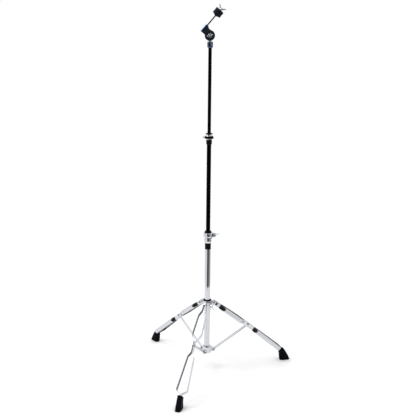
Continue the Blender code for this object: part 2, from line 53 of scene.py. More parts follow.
joints = {joint["name"]: joint for joint in frame["joints"]}
bodies = frame["record"]["behaviour"]["bodies"]
body_of = {node: body for body, nodes in bodies.items() for node in nodes}
UP = Vector((0, 0, 1))
column = Vector((*joints["mid_swivel"]["pos_m"][:2], 0))


class Wire:
    """One socket of a material.  Sums add Math nodes, and node() adds every other kind."""

    def __init__(self, tree, socket=None):
        self.tree = tree
        self.socket = socket

    def node(self, kind, settings=None, sockets=None, output=0):
        made = self.tree.nodes.new(kind)
        for name, value in (settings or {}).items():
            if name == "stops":
                ramp = made.color_ramp
                while len(ramp.elements) < len(value):
                    ramp.elements.new(0.5)
                for stop, (place, shade) in zip(ramp.elements, value):
                    stop.position = place
                    stop.color = (shade, shade, shade, 1)
            else:
                setattr(made, name, value)
        for name, value in (sockets or {}).items():
            if isinstance(value, Wire):
                self.tree.links.new(value.socket, made.inputs[name])
            else:
                made.inputs[name].default_value = value
        return Wire(self.tree, made.outputs[output])

    def maths(self, operation, first, second):
        return self.node("ShaderNodeMath", {"operation": operation}, {0: first, 1: second})

    def __add__(self, other):
        return self.maths("ADD", self, other)

    def __radd__(self, other):
        return self.maths("ADD", other, self)

    def __sub__(self, other):
        return self.maths("SUBTRACT", self, other)

    def __rsub__(self, other):
        return self.maths("SUBTRACT", other, self)

    def __mul__(self, other):
        return self.maths("MULTIPLY", self, other)

    def __rmul__(self, other):
        return self.maths("MULTIPLY", other, self)

    def ramp(self, *stops):
        return self.node("ShaderNodeValToRGB", {"stops": stops}, {0: self})

    def grain(self, scale, detail=3.0, stretch=(1, 1, 1)):
        """Noise on the piece's own coordinates, in waves per metre, longer if stretch is small."""
        spot = self.node("ShaderNodeTexCoord", output="Object")
        spread = self.node("ShaderNodeVectorMath", {"operation": "MULTIPLY"}, {0: spot, 1: stretch})
        return self.node("ShaderNodeTexNoise", {},
                         {"Vector": spread, "Scale": scale, "Detail": detail})

    def blend(self, one, other):
        """Two colours mixed by this wire."""
        return self.node("ShaderNodeMix", {"data_type": "RGBA"}, {0: self, 6: one, 7: other}, 2)

    def bump(self, strength, depth):
        return self.node("ShaderNodeBump", {},
                         {"Strength": strength, "Distance": depth, "Height": self})

    def into(self, shader, name):
        self.tree.links.new(self.socket, shader.inputs[name])


def coating(name, metallic, **constants):
    """A new material: itself, its shader and a loose wire to start its nodes from."""
    made = bpy.data.materials.new(name)
    made.use_nodes = True
    shader = made.node_tree.nodes["Principled BSDF"]
    shader.inputs["Metallic"].default_value = metallic
    for socket, value in constants.items():
        shader.inputs[socket.replace("_", " ")].default_value = value
    return made, shader, Wire(made.node_tree)


def plating(name, bright, dull, polish, **constants):
    """Plated metal: a mirror with faint haze, handling smudges and a rolled ripple below it."""
    made, shader, start = coating(name, 1.0, **constants)
    smudge = start.grain(26.0, 6.0).ramp((0.52, 0), (0.74, 1))
    haze = start.grain(1400.0, 2.0)
    wiped = start.grain(90.0, 4.0, (1, 1, 0.06)).ramp((0.56, 0), (0.70, 1))
    (smudge * 0.45).blend(bright, dull).into(shader, "Base Color")
    (smudge * 0.06 + haze * 0.02 + wiped * 0.03 + polish).into(shader, "Roughness")
    start.grain(70.0, 2.0).bump(0.05, 0.0004).into(shader, "Normal")
    return made


def rounded(corners, closed, steps=4, most=0.48):
    """Corners given as (x, z) or (x, z, radius), the last kind turned into short curves.

    A curve takes no more than a set share of the edge on either side of its corner.
    """
    points = []
    for index, corner in enumerate(corners):
        here = Vector(corner[:2])
        if len(corner) < 3 or (not closed and index in (0, len(corners) - 1)):
            points.append(tuple(here))
            continue
        before = Vector(corners[index - 1][:2]) - here
        after = Vector(corners[(index + 1) % len(corners)][:2]) - here
        start = here + before.normalized() * min(corner[2], before.length * most)
        end = here + after.normalized() * min(corner[2], after.length * most)
        for share in (step / steps for step in range(steps + 1)):
            points.append(tuple(start * (1 - share) ** 2 + here * 2 * share * (1 - share)
                                + end * share ** 2))
    return points


def turned(corners, steps=64, weld=2e-6):
    """A solid of revolution about Z: a ring, or a chain whose two ends lie on the axis."""
    ring = corners[0][0] > 0
    points = rounded(corners, ring)
    shape = bmesh.new()
    spots = [shape.verts.new((radius, 0, height)) for radius, height in points]
    edges = [shape.edges.new(pair) for pair in zip(spots, spots[1:])]
    if ring:
        edges.append(shape.edges.new((spots[-1], spots[0])))
    bmesh.ops.spin(shape, geom=spots + edges, cent=(0, 0, 0), axis=UP, angle=2 * pi, steps=steps)
    bmesh.ops.remove_doubles(shape, verts=shape.verts, dist=weld)
    return shape


def axes(side, up):
    """The turn that brings X to side and Z to up."""
    return Matrix((side, up.cross(side), up)).transposed().to_4x4()


def stood(shape, origin, up=UP, side=None):
    """Moves a shape so its Z runs along up from the origin, with its X nearest to side."""
    up = Vector(up).normalized()
    side = Vector(side or ((1, 0, 0) if abs(up.x) < 0.9 else (0, 1, 0)))
    side = (side - up * side.dot(up)).normalized()
    bmesh.ops.transform(shape, matrix=Matrix.Translation(origin) @ axes(side, up),
                        verts=shape.verts)
    return shape


def smoothed(mesh, angle):
    """Shades a mesh smooth, except over edges sharper than an angle in degrees."""
    mesh.shade_smooth()
    mesh.set_sharp_from_angle(angle=radians(angle))
    return mesh


def mesh_of(name, shape, angle=32):
    bmesh.ops.recalc_face_normals(shape, faces=shape.faces)
    mesh = bpy.data.meshes.new(name)
    shape.to_mesh(mesh)
    shape.free()
    return smoothed(mesh, angle)


def linked(name, data):
    item = bpy.data.objects.new(name, data)
    bpy.context.scene.collection.objects.link(item)
    return item


def fitted(name, shape, finish, node, angle=32):
    """Hangs a finished shape on the body of the node that it stands for."""
    mesh = shape if isinstance(shape, bpy.types.Mesh) else mesh_of(name, shape, angle)
    item = linked(name, mesh)
    while mesh.materials:  # clear() would also forget which material each face has
        mesh.materials.pop()
    for coat in finish if isinstance(finish, list) else [finish]:
        mesh.materials.append(coat)
    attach(item, body_of[node])
    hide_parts(node)
    return item


def radius_of(node):
    low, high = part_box(node)
    return (high.x - low.x) / 2


def span_of(node):
    """The heights of a node's lower and upper ends."""
    low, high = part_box(node)
    return low.z, high.z


def pipe(node, wall, finish, steps=96):
    """A straight tube as long and as wide as its node, with broken edges."""
    low, high = span_of(node)
    outer = radius_of(node)
    inner = outer - wall
    shape = turned([(inner, low, 0.0004), (outer, low, 0.0005), (outer, high, 0.0005),
                    (inner, high, 0.0004)], steps)
    return fitted(node + "_skin", stood(shape, column), finish, node)


chrome = plating("bright_chrome", (0.63, 0.645, 0.675, 1), (0.56, 0.575, 0.61, 1), 0.045,
                 Specular_Tint=(0.80, 0.80, 0.82, 1))
base_wall = 0.0015
base_r = radius_of("base_tube")
pipe("base_tube", base_wall, chrome)

# ------------------------------ plug, collar and guides
# Black injection-moulded nylon: a plug closes the base tube, a collar guards it below the clamp.
# Two guides ride out of sight on the lower ends of the sliding tubes.


def moulding(name, colour, rough, **constants):
    """Moulded plastic: a fine spark-eroded grain, slightly shinier where it rubs."""
    made, shader, start = coating(name, 0.0, **constants)
    worn = start.grain(60.0, 4.0).ramp((0.50, 0), (0.72, 1))
    grit = start.grain(2600.0, 2.0)
    paler = tuple(min(1.0, channel * 1.7 + 0.004) for channel in colour)
    (worn * 0.5).blend((*colour, 1), (*paler, 1)).into(shader, "Base Color")
    (rough - worn * 0.12 + grit * 0.08).into(shader, "Roughness")
    (grit + worn * 0.2).bump(0.25, 0.00012).into(shader, "Normal")
    return made


nylon = moulding("black_nylon", (0.003, 0.003, 0.0035), 0.40, Specular_IOR_Level=0.09)

low, high = span_of("base_plug")
plug_r = base_r - 0.0018
lip = low + 0.0032
plug = [(0, low), (base_r * 0.80, low, 0.0008), (base_r, (low + lip) / 2, 0.0010), (base_r, lip),
        (plug_r, lip), (plug_r, high, 0.0006), (0, high)]
fitted("base_plug_cap", stood(turned(plug), column), nylon, "base_plug")

gap = 0.0003  # left between two pieces that would touch
low, high = span_of("base_collar")
collar_r = radius_of("base_collar")
inside = base_r + gap
groove_r = collar_r - 0.00035
groove_half, floor_half = 0.0012, 0.0007
collar = [(inside, low), (collar_r, low, 0.0003)]
for share in (0.22, 0.42, 0.62):
    at = low + (high - low) * share
    collar += [(collar_r, at - groove_half), (groove_r, at - floor_half),
               (groove_r, at + floor_half), (collar_r, at + groove_half)]
collar += [(collar_r, high, 0.0003), (inside, high)]
fitted("base_collar_ring", stood(turned(collar, 96), column), nylon, "base_collar")

for guide in ("mid_tube_guide", "top_tube_guide"):
    frame["nodes"][guide].data.materials.clear()
    frame["nodes"][guide].data.materials.append(nylon)

# ------------------------------ middle and top tubes
# The two thinner tubes slide out of the base.  They are plated black over polished steel,
# with long fine draw marks where the nylon bushes have rubbed.

black_chrome, black_shader, black_start = coating("black_chrome", 0.0, Specular_IOR_Level=0.025)
drawn = black_start.grain(240.0, 4.0, (1, 1, 0.02)).ramp((0.45, 0), (0.75, 1))
tint = (drawn * 0.6).blend((0.0015, 0.0015, 0.0018, 1), (0.0045, 0.0040, 0.0042, 1))
tint.into(black_shader, "Base Color")
(drawn * 0.10 + 0.26).into(black_shader, "Roughness")
mid_wall, top_wall = 0.0010, 0.0012
mid_r, top_r = radius_of("mid_tube"), radius_of("top_tube")
pipe("mid_tube", mid_wall, black_chrome, 80)
pipe("top_tube", top_wall, black_chrome, 72)

# ------------------------------ leg strips
# Each leg is a pair of arched, chrome-plated steel strips.  They lie close at the hub, spring
# apart, close on the brace, part again and meet in the foot.  Their inner faces carry painted
# shade: a dark grey coat that stands for the shadow between the two strips of a pair.

strip_half = 0.0100
sheet = 0.0015
arch = 0.0040
hub_half = 0.0049
brace_half = 0.0015
hub_play = 0.0011
in_foot = 0.0120
mouth = Vector((0.3650, 0.0525))  # of the foot, as (distance from the column, height)
outward = {}
for number in (1, 2, 3):
    arm = Vector(joints["brace_%d_fold" % number]["pos_m"]) - column
    outward[number] = Vector((arm.x, arm.y, 0)).normalized()


def on_plane(joint, number):
    """A joint's place in the leg's own upright plane, as (distance from the column, height)."""
    offset = Vector(joint["pos_m"]) - column
    return Vector((offset.dot(outward[number]), offset.z))


hub_pin = on_plane(joints["hub_level"], 1)
low_pin = on_plane(joints["brace_1_fold"], 1)
brace_pin = on_plane(joints["leg_1_fold"], 1)


def in_leg(shape, number):
    """Stands a shape drawn with X outward and Y across in the upright plane of its leg."""
    return stood(shape, column, UP, outward[number])


chord = (brace_pin - hub_pin).normalized()
knee_drop = 0.0035
knee = brace_pin - Vector((-chord.y, chord.x)) * knee_drop
upper_run, lower_run = knee - hub_pin, mouth - knee
knee_at = upper_run.length
mouth_at = knee_at + lower_run.length
on_brace = brace_half + hub_play

# (distance from the hub pin, half gap between the pair, arch height)
sets = [(-0.0100, hub_half, 0), (0.0100, hub_half, 0), (0.0170, hub_half, arch),
        (0.0270, hub_half, arch), (0.0320, hub_half, 0), (0.0570, 0.0152, 0),
        (0.0630, 0.0154, arch), (0.1500, 0.0190, arch), (knee_at - 0.0160, on_brace, 0),
        (knee_at + 0.0345, on_brace, 0), (knee_at + 0.0505, 0.0125, 0),
        (knee_at + 0.0560, 0.0128, arch), (mouth_at - 0.0200, 0.0220, arch),
        (mouth_at + 0.0010, 0.0002, 0), (mouth_at + in_foot, 0.0002, 0)]


def between(distance, item):
    """A set's item at a distance, eased over the long stretches where the strip swings in."""
    for near, far in zip(sets, sets[1:]):
        if distance <= far[0]:
            share = max(0.0, (distance - near[0]) / (far[0] - near[0]))
            if near[2] == arch and far[2] == 0 and far[0] - near[0] > 0.02:
                share = share * share * (3 - 2 * share)
            return near[item] + (far[item] - near[item]) * share
    return sets[-1][item]


def pressed(distance, item):
    """The same, averaged over a few millimetres, which gives every set its bend radius."""
    spread = [between(distance + offset * 0.0004, item) for offset in range(-4, 5)]
    return sum(spread) / len(spread)


def lofted(shape, rings):
    """Skins a row of rings that have the same number of points, and closes both ends."""
    for near, far in zip(rings, rings[1:]):
        for index in range(len(near)):
            shape.faces.new((near[index - 1], near[index], far[index], far[index - 1]))
    shape.faces.new(rings[0])
    shape.faces.new(rings[-1])
    return shape


def strip(side):
    """One strip of a pair, lofted from the hub's end to the foot's through thin arched rings."""
    start, end = -0.0090, mouth_at + in_foot
    count, cells = 300, 6
    tip_r, knee_length = 0.0085, 0.012
    rolled, rolled_in = 0.0003, 0.0002
    shape = bmesh.new()
    rings = []
    for index in range(count + 1):
        distance = start + (end - start) * index / count
        from_end = min(distance - start, end - distance)
        half = strip_half * sqrt(min(1.0, max(0.04, 1 - max(0.0, 1 - from_end / tip_r) ** 2)))
        bend = min(max((distance - knee_at) / knee_length + 0.5, 0), 1)
        direction = upper_run.normalized() * (1 - bend) + lower_run.normalized() * bend
        direction = direction.normalized()
        centre = hub_pin + upper_run.normalized() * distance
        if distance > knee_at:
            centre = knee + lower_run.normalized() * (distance - knee_at)
        normal = Vector((-direction.y, direction.x))
        apart, crown = pressed(distance, 1), pressed(distance, 2)
        ring = []
        for face in (0, 1):
            for place in range(-cells, cells + 1):
                across = (place if face == 0 else -place) / cells
                at_edge = abs(place) == cells
                lift = apart + crown * cos(across * pi / 2) ** 0.8 + face * sheet
                if at_edge:
                    lift += rolled - 2 * face * rolled
                reach = across * (half - (rolled_in if at_edge else 0))
                spot = centre + normal * reach
                ring.append(shape.verts.new((spot.x, side * lift, spot.y)))
        rings.append(ring)
    lofted(shape, rings)
    # Faces on the inner side, toward the other strip, take the second material: painted shade for the shadow
    # between the pair.
    for index, face in enumerate(list(shape.faces)[:-2]):
        face.material_index = 1 if 0 < index % len(ring) <= 2 * cells else 0
    return shape


# Painted shade: the strips' inner faces get dark grey metal that stands for the shadow between the two strips of a
# pair, mottled at random by the stain noise.
dull, strip_shade_shader, strip_shade_start = coating("strip_inner_painted_shade", 1.0, Specular_Tint=(0.5, 0.5, 0.52, 1))
stained = strip_shade_start.grain(150.0, 5.0).ramp((0.35, 0), (0.70, 1))
tint = (stained * 0.7).blend((0.17, 0.173, 0.182, 1), (0.11, 0.11, 0.118, 1))
tint.into(strip_shade_shader, "Base Color")
(stained * 0.12 + 0.20).into(strip_shade_shader, "Roughness")
for number in (1, 2, 3):
    for side, word in ((-1, "left"), (1, "right")):
        node = "leg_%d_%s_strip" % (number, word)
        fitted(node + "_pressing", in_leg(strip(side), number), [chrome, dull], node, angle=40)

# ------------------------------ braces
# Flat chrome-plated steel bars with a round eye at each end, riveted between the lower hub's ears
# and between the strips of each leg.  Their long edges are rolled over slightly.


def worked(shape, joins=(), cuts=(), edge=0.0004, angle=38):
    """Joins and cuts solids, breaks the sharp edges by a small bevel and gives back the mesh."""
    base = linked("worked", mesh_of("worked", shape))
    tools = []
    for kind, others in (("UNION", joins), ("DIFFERENCE", cuts)):
        for other in others:
            tool = linked("tool", mesh_of("tool", other))
            tools.append(tool)
            modifier = base.modifiers.new(kind, "BOOLEAN")
            modifier.operation = kind
            modifier.solver = "EXACT"
            modifier.object = tool
    if edge:
        bevel = base.modifiers.new("edge", "BEVEL")
        bevel.width = edge
        bevel.segments = 2
        bevel.limit_method = "ANGLE"
        bevel.angle_limit = radians(angle)
        bevel.use_clamp_overlap = True
        bevel.miter_outer = "MITER_ARC"
    bpy.context.view_layer.update()
    finished = base.evaluated_get(bpy.context.evaluated_depsgraph_get())
    mesh = bpy.data.meshes.new_from_object(finished)
    for item in [base] + tools:
        bpy.data.objects.remove(item, do_unlink=True)
    return smoothed(mesh, 34)


def arc(centre, radius, start, end, steps):
    """Points on an arc, in degrees, both ends included."""
    angles = [radians(start + (end - start) * index / steps) for index in range(steps + 1)]
    return [(centre[0] + radius * cos(a), centre[1] + radius * sin(a)) for a in angles]


def extruded(spots, way):
    """A flat ring of points drawn out along a vector into a solid."""
    shape = bmesh.new()
    face = shape.faces.new([shape.verts.new(spot) for spot in spots])
    grown = bmesh.ops.extrude_face_region(shape, geom=[face])["geom"]
    ends = [item for item in grown if isinstance(item, bmesh.types.BMVert)]
    bmesh.ops.translate(shape, verts=ends, vec=way)
    return shape


def plate(outline, low, high):
    """An (x, z) outline as a flat solid from low to high along Y."""
    return extruded([(x, low, z) for x, z in outline], (0, high - low, 0))


def drill(point, radius, reach=0.03, steps=40):
    """A round cutter along Y through an (x, z) point."""
    pin = turned([(0, -reach), (radius, -reach), (radius, reach), (0, reach)], steps)
    return stood(pin, (point[0], 0, point[1]), (0, 1, 0))


def placed_mesh(mesh, number):
    """A worked mesh drawn in a leg's plane, stood in that leg."""
    mesh.transform(Matrix.Translation(column) @ axes(outward[number], UP))
    return mesh


rivet_r = 0.0030
eye_r = 0.0072
eye_wrap = 124  # degrees that each eye runs round on either side of the bar's end
outer_hole_r = 0.0045
bar_half = 0.0060
neck = 0.013  # from the inner rivet to where the bar has its full width
run = (brace_pin - low_pin).normalized()
rise = Vector((-run.y, run.x))
heading = atan2(run.y, run.x) * 180 / pi
for number in (1, 2, 3):
    bar = arc(brace_pin, eye_r, heading - eye_wrap, heading + eye_wrap, 28)
    bar += [tuple(low_pin + run * neck + rise * bar_half)]
    bar += arc(low_pin, eye_r, heading + 180 - eye_wrap, heading + 180 + eye_wrap, 28)
    bar += [tuple(low_pin + run * neck - rise * bar_half)]
    mesh = worked(plate(bar, -brace_half, brace_half),
                  cuts=[drill(low_pin, rivet_r + gap), drill(brace_pin, outer_hole_r)],
                  edge=0.0005)
    node = "brace_%d" % number
    fitted(node + "_bar", placed_mesh(mesh, number), chrome, node)

# ------------------------------ rivets
# Bright plated steel rivets.  Each has a low domed head at one end, and the other end is spun
# over into the same shape.

steel, steel_shader, steel_start = coating("plated_steel", 1.0)
turning = steel_start.grain(420.0, 3.0, (1, 1, 3))
tint = (turning * 0.6).blend((0.34, 0.34, 0.35, 1), (0.22, 0.22, 0.23, 1))
tint.into(steel_shader, "Base Color")
(turning * 0.14 + 0.16).into(steel_shader, "Roughness")
turning.bump(0.12, 0.0002).into(steel_shader, "Normal")
fork_half = 0.0055


def rivet(grip, head_r=0.0055, head_t=0.0022, rim=0.25):
    """A rivet along Z, its domed heads just off the pieces that it holds."""
    seat = grip + gap
    dome = [(head_r * cos(a), seat + head_t * (rim + (1 - rim) * sin(a))) for a in
            (radians(step * 15) for step in range(0, 6))]
    side = [(rivet_r, seat), (head_r * 0.98, seat)] + dome + [(0, seat + head_t)]
    return turned([(radius, -height) for radius, height in reversed(side)] + side, 36)


for number in (1, 2, 3):
    for node, spot, grip in (("leg_%d_hub_rivet" % number, hub_pin, hub_half + sheet),
                             ("leg_%d_brace_rivet" % number, brace_pin, on_brace + sheet),
                             ("brace_%d_rivet" % number, low_pin, fork_half)):
        pin = stood(rivet(grip), (spot.x, 0, spot.y), (0, 1, 0))
        fitted(node + "_pin", in_leg(pin, number), steel, node)

# ------------------------------ rubber feet
# Moulded rubber boots pushed over the joined ends of the strips, with grip ribs round the shank
# and a flat sole.  The rubber is dark, slightly dusty on its ribs.

rubber, rubber_shader, rubber_start = coating("foot_rubber", 0.0, Specular_IOR_Level=0.07)
dust = rubber_start.grain(120.0, 6.0).ramp((0.48, 0), (0.78, 1))
pores = rubber_start.grain(1800.0, 3.0)
tint = (dust * 0.5).blend((0.0012, 0.0015, 0.0034, 1), (0.0080, 0.0095, 0.0165, 1))
tint.into(rubber_shader, "Base Color")
(0.58 + dust * 0.2 - pores * 0.1).into(rubber_shader, "Roughness")
pores.bump(0.35, 0.0002).into(rubber_shader, "Normal")

# (distance from column, height, tilt in degrees, half length, half width) up the boot
boot = [(0.3850, 0.0000, 0, 0.0245, 0.0132), (0.3848, 0.0042, 1, 0.0243, 0.0132),
        (0.3823, 0.0110, 9, 0.0228, 0.0130), (0.3791, 0.0195, 17, 0.0208, 0.0128),
        (0.3755, 0.0284, 26, 0.0190, 0.0125), (0.3715, 0.0375, 37, 0.0175, 0.0121),
        (0.3665, 0.0468, 48, 0.0157, 0.0116)]


def boot_at(share):
    """The boot's section at a share of its height, on a smooth curve through the list above."""
    place = share * (len(boot) - 1)
    index = min(int(place), len(boot) - 2)
    t = place - index
    a, b, c, d = (boot[min(max(index + k, 0), len(boot) - 1)] for k in (-1, 0, 1, 2))
    return [0.5 * (2 * q + (r - p) * t + (2 * p - 5 * q + 4 * r - s) * t * t
                   + (3 * q - p - 3 * r + s) * t ** 3) for p, q, r, s in zip(a, b, c, d)]


def foot():
    """The boot as a loft of boxy rings, drawn in between its ribs."""
    levels, around = 112, 72
    ribbed_from, ribbed_to, valleys, valley_depth = 0.10, 0.94, 7, 0.0013
    end_radius = 0.0006
    shape = bmesh.new()
    rings = []
    for level in range(levels + 1):
        share = level / levels
        x, z, tilt, half_x, half_y = boot_at(share)
        shrink = end_radius if level in (0, levels) else 0.0
        if ribbed_from < share < ribbed_to:
            phase = (share - ribbed_from) / (ribbed_to - ribbed_from) * valleys
            shrink += valley_depth * (0.5 - 0.5 * cos(2 * pi * phase)) ** 0.7
        ring = []
        for step in range(around):
            turn = 2 * pi * step / around
            boxy = (cos(turn) ** 4 + sin(turn) ** 4) ** -0.25
            out = (half_x - shrink) * cos(turn) * boxy
            wide = (half_y - shrink) * sin(turn) * boxy
            height = max(z + out * sin(radians(tilt)), 0.0004 if level else 0.0)
            ring.append(shape.verts.new((x + out * cos(radians(tilt)), wide, height)))
        rings.append(ring)
    return lofted(shape, rings)


def pocket():
    """The slot in a boot's top that takes the two strips."""
    side = lower_run.normalized()
    normal = Vector((-side.y, side.x))
    half = (strip_half + gap) * normal
    start, end = mouth - side * 0.014, mouth + side * (in_foot + 0.001)
    corners = [start - half, end - half, end + half, start + half]
    wide = sheet + 2 * gap
    return plate([tuple(corner) for corner in corners], -wide, wide)


for number in (1, 2, 3):
    node = "leg_%d_foot" % number
    mesh = worked(foot(), cuts=[pocket()], edge=0)
    fitted(node + "_boot", placed_mesh(mesh, number), rubber, node)

# ------------------------------ lower hub
# A chrome-plated die casting fixed to the bottom of the base tube by one screw, with a forked ear
# for each brace.  Its corners are broken by the mould's small radii.


def about(shape, number):
    """A shape drawn round the column's own axis with X outward, turned to a leg's bearing."""
    turn = Matrix.Rotation(atan2(outward[number].y, outward[number].x), 4, "Z")
    bmesh.ops.transform(shape, matrix=turn, verts=shape.verts)
    return shape


def block(low, high):
    """A box between two opposite corners."""
    outline = [(low[0], low[2]), (high[0], low[2]), (high[0], high[2]), (low[0], high[2])]
    return plate(outline, low[1], high[1])


def on_column(mesh):
    mesh.transform(Matrix.Translation(column))
    return mesh


foot_z, head_z = span_of("lower_hub")
bore = base_r + gap
fork_r = 0.0080
hub_body = turned([(bore, foot_z), (0.0210, foot_z, 0.0015), (0.0214, foot_z + 0.0100, 0.0040),
                   (0.0210, head_z, 0.0018), (bore, head_z)], 96)
ears, slits = [], []
for number in (1, 2, 3):
    ear = [(0.0150, low_pin.y - fork_r), *arc(low_pin, fork_r, -90, 80, 20),
           (0.0150, low_pin.y + 0.0165)]
    ears.append(about(plate(ear, -fork_half, fork_half), number))
    slit = block((0.0222, -0.0020, foot_z - 0.01), (0.0500, 0.0020, head_z + 0.01))
    slits.append(about(slit, number))
    slits.append(about(drill(low_pin, rivet_r + gap, 0.02), number))
screw_z = low_pin.y + 0.0065
screw_hole = turned([(0, 0.010), (0.0028, 0.010), (0.0028, 0.030), (0, 0.030)], 32)
slits.append(stood(screw_hole, (0, 0, screw_z), (0, 1, 0)))
mesh = worked(hub_body, joins=ears, cuts=slits, edge=0.0006)
fitted("lower_hub_casting", on_column(mesh), chrome, "lower_hub")


def cross_screw(head_r, head_t, shank_r, length):
    """A pan-head screw along -Z with a cross recess, its head above the origin."""
    pan = turned([(0, -length), (shank_r, -length, 0.0004), (shank_r, 0), (head_r, 0, 0.0003),
                  (head_r * 0.96, head_t * 0.5, 0.0008), (head_r * 0.6, head_t, 0.0014),
                  (0, head_t)], 40)
    slot = head_r * 0.62
    arms = [block((-slot, -0.0005, head_t * 0.45), (slot, 0.0005, head_t + 0.001)),
            block((-0.0005, -slot, head_t * 0.45), (0.0005, slot, head_t + 0.001))]
    return worked(pan, cuts=arms, edge=0)


screw = cross_screw(0.0046, 0.0030, 0.0025, 0.0080)
screw_at = column + Vector((0, 0.0213, screw_z))
screw.transform(Matrix.Translation(screw_at) @ Matrix.Rotation(-pi / 2, 4, "X"))
fitted("lower_hub_fixing", screw, steel, "lower_hub_screw")

# ------------------------------ sliding hub
# The upper casting slides on the base tube and carries the three leg lugs, a nylon bush on top and
# a boss for the wing bolt that locks the tripod open.

bolt_at = Vector(joints["hub_wing_bolt_turn"]["pos_m"]) - column
bolt_way = Vector(joints["hub_wing_bolt_turn"]["axis"])
slide_bore = base_r + hub_play
z0, z1 = span_of("sliding_hub")
hub_body = turned([(slide_bore, z0), (0.0160, z0, 0.0008), (0.0170, z0 + 0.0110, 0.0030),
                   (0.0200, z0 + 0.0155, 0.0020), (0.0200, z1, 0.0014), (slide_bore, z1)], 96)
lugs, holes = [], []
for number in (1, 2, 3):
    lug = [(0.0145, hub_pin.y - 0.0110), *arc(hub_pin, 0.0090, -80, 80, 20),
           (0.0145, hub_pin.y + 0.0110)]
    lugs.append(about(plate(lug, -0.0045, 0.0045), number))
    holes.append(about(drill(hub_pin, rivet_r + gap, 0.02), number))
boss = turned([(0, 0.0145), (0.0078, 0.0145), (0.0075, 0.0255, 0.0008), (0, 0.0255)], 48)
tap = turned([(0, 0.0120), (0.0033, 0.0120), (0.0033, 0.0300), (0, 0.0300)], 32)
level = Vector((0, 0, bolt_at.z))
lugs.append(stood(boss, level, bolt_way))
holes.append(stood(tap, level, bolt_way))
mesh = worked(hub_body, joins=lugs, cuts=holes, edge=0.0006)
fitted("sliding_hub_casting", on_column(mesh), chrome, "sliding_hub")

low, high = span_of("sliding_hub_bush")
bush_r = 0.0185
bush = [(slide_bore, low), (bush_r, low, 0.0005), (bush_r, high - 0.0018, 0.0012),
        (bush_r - 0.0015, high, 0.0006), (slide_bore, high)]
fitted("sliding_hub_ring", stood(turned(bush, 96), column), nylon, "sliding_hub_bush")

# ------------------------------ wing bolt and wing nuts
# Zinc castings with two upswept ears, chrome plated, each on a conical boss.  One is cast round a
# bolt and presses on the base tube; the others run on the clamp, tilter and rod threads.

# One wing's outline as shares of the span from the axis and of the height, from its root round.
wing_side = [(0.30, 0.08), (0.50, 0.36), (0.67, 0.57), (0.85, 0.71), (0.98, 0.82), (1.00, 0.92),
             (0.93, 1.00), (0.82, 0.99), (0.60, 0.84), (0.38, 0.62), (0.20, 0.50)]
bolt_hole_r = 0.0033


def softened(outline, times=2):
    """Cuts every corner of a closed outline in turn, which rounds it from inside."""
    for _ in range(times):
        cut = []
        for here, there in zip(outline, outline[1:] + outline[:1]):
            a, b = Vector(here), Vector(there)
            cut += [tuple(a * 0.75 + b * 0.25), tuple(a * 0.25 + b * 0.75)]
        outline = cut
    return outline


def ears_of(span, height, thick=0.0032):
    """A pair of wings as one flat casting, with soft edges."""
    outline = [(x * span, z * height) for x, z in wing_side]
    outline += [(-x * span, z * height) for x, z in reversed(wing_side)]
    return worked(plate(softened(outline), -thick / 2, thick / 2), edge=thick * 0.30)


def shape_of(mesh):
    shape = bmesh.new()
    shape.from_mesh(mesh)
    bpy.data.meshes.remove(mesh)
    return shape


def wing_nut(name, node, span, height, place, bore_r=bolt_hole_r, hub_r=0.0065):
    """A wing nut with its foot on the given frame's origin."""
    hub = turned([(0, 0), (hub_r, 0, 0.0004), (hub_r * 0.97, height * 0.10, 0.0010),
                  (hub_r * 0.76, height * 0.44, 0.0008), (0, height * 0.46)], 48)
    hole = turned([(0, -0.002), (bore_r, -0.002), (bore_r, height), (0, height)], 32)
    mesh = worked(hub, joins=[shape_of(ears_of(span, height))], cuts=[hole], edge=0)
    mesh.transform(place)
    fitted(name, mesh, chrome, node)


def seat_of(joint, x_way, degrees=0):
    """A frame on a joint: Z along its axis, X nearest to the given way, then turned about Z."""
    up = Vector(joint["axis"])
    side = (Vector(x_way) - up * Vector(x_way).dot(up)).normalized()
    turn = axes(side, up) @ Matrix.Rotation(radians(degrees), 4, "Z")
    return Matrix.Translation(joint["pos_m"]) @ turn


bolt = turned([(0, -0.0119), (0.0030, -0.0119, 0.0006), (0.0030, 0), (0.0062, 0, 0.0005),
               (0.0060, 0.0012, 0.0006), (0.0048, 0.0075, 0.0008), (0, 0.0078)], 48)
mesh = worked(bolt, joins=[shape_of(ears_of(0.0135, 0.0170))], edge=0)
mesh.transform(seat_of(joints["hub_wing_bolt_turn"], UP))
fitted("hub_wing_bolt_casting", mesh, chrome, "hub_wing_bolt")

# ------------------------------ clamps
# Chrome die castings, split down one side and drawn together by a bolt and wing nut through a pair
# of ears.  The tube's nylon bush sits in each casting's mouth.

swing_y = Vector(joints["tilter_pivot"]["axis"])
swing_x = swing_y.cross(UP)
ear_half = 0.0075
ear_r = 0.0080
ear_out = 0.0280
bolt_r = 0.0029


def swung(matrix=Matrix.Identity(4)):
    """The turned frame on the column's axis that the clamps and the tilter are drawn in."""
    return Matrix.Translation(column) @ axes(swing_x, UP) @ matrix


def thread(radius, low, high, pitch=0.0010, around=28, depth=0.14, rows_a_turn=7):
    """A rod with a cut thread: its radius follows a ridge that climbs one pitch a turn."""
    shape = bmesh.new()
    rows = ceil((high - low) / pitch * rows_a_turn)
    rings = []
    for row in range(rows + 1):
        height = low + (high - low) * row / rows
        ends = min(1.0, (height - low) / pitch, (high - height) / pitch)
        ring = []
        for step in range(around):
            phase = (height / pitch - step / around) % 1
            ridge = 1 - abs(2 * phase - 1)
            reach = radius * (1 - depth * (1 - ridge) * (0.4 + 0.6 * ends))
            reach -= (1 - ends) * radius * 0.08
            turn = 2 * pi * step / around
            ring.append(shape.verts.new((reach * cos(turn), reach * sin(turn), height)))
        rings.append(ring)
    return lofted(shape, rings)


